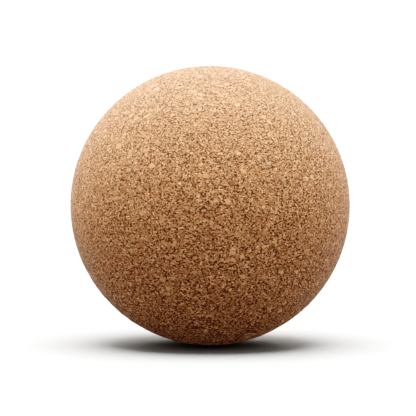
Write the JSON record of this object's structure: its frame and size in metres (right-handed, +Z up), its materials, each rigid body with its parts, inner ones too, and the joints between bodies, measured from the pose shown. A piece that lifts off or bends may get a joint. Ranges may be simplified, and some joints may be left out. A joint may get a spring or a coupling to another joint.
{
  "type": "massage ball",
  "caption": "Solid cork massage ball with a sanded, finely granular surface, for rolling out feet, back and other muscles.",
  "frame": {"origin": "middle of the small round flat under the ball, where it touches the floor", "axes": "+Z up through the ball's centre; the ball is round about it, so X and Y point anywhere level"},
  "size_m": [0.08, 0.08, 0.08],
  "materials": {
    "cork": "matte"
  },
  "bodies": {
    "root": {"cork_ball": "cork"}
  },
  "joints": []
}
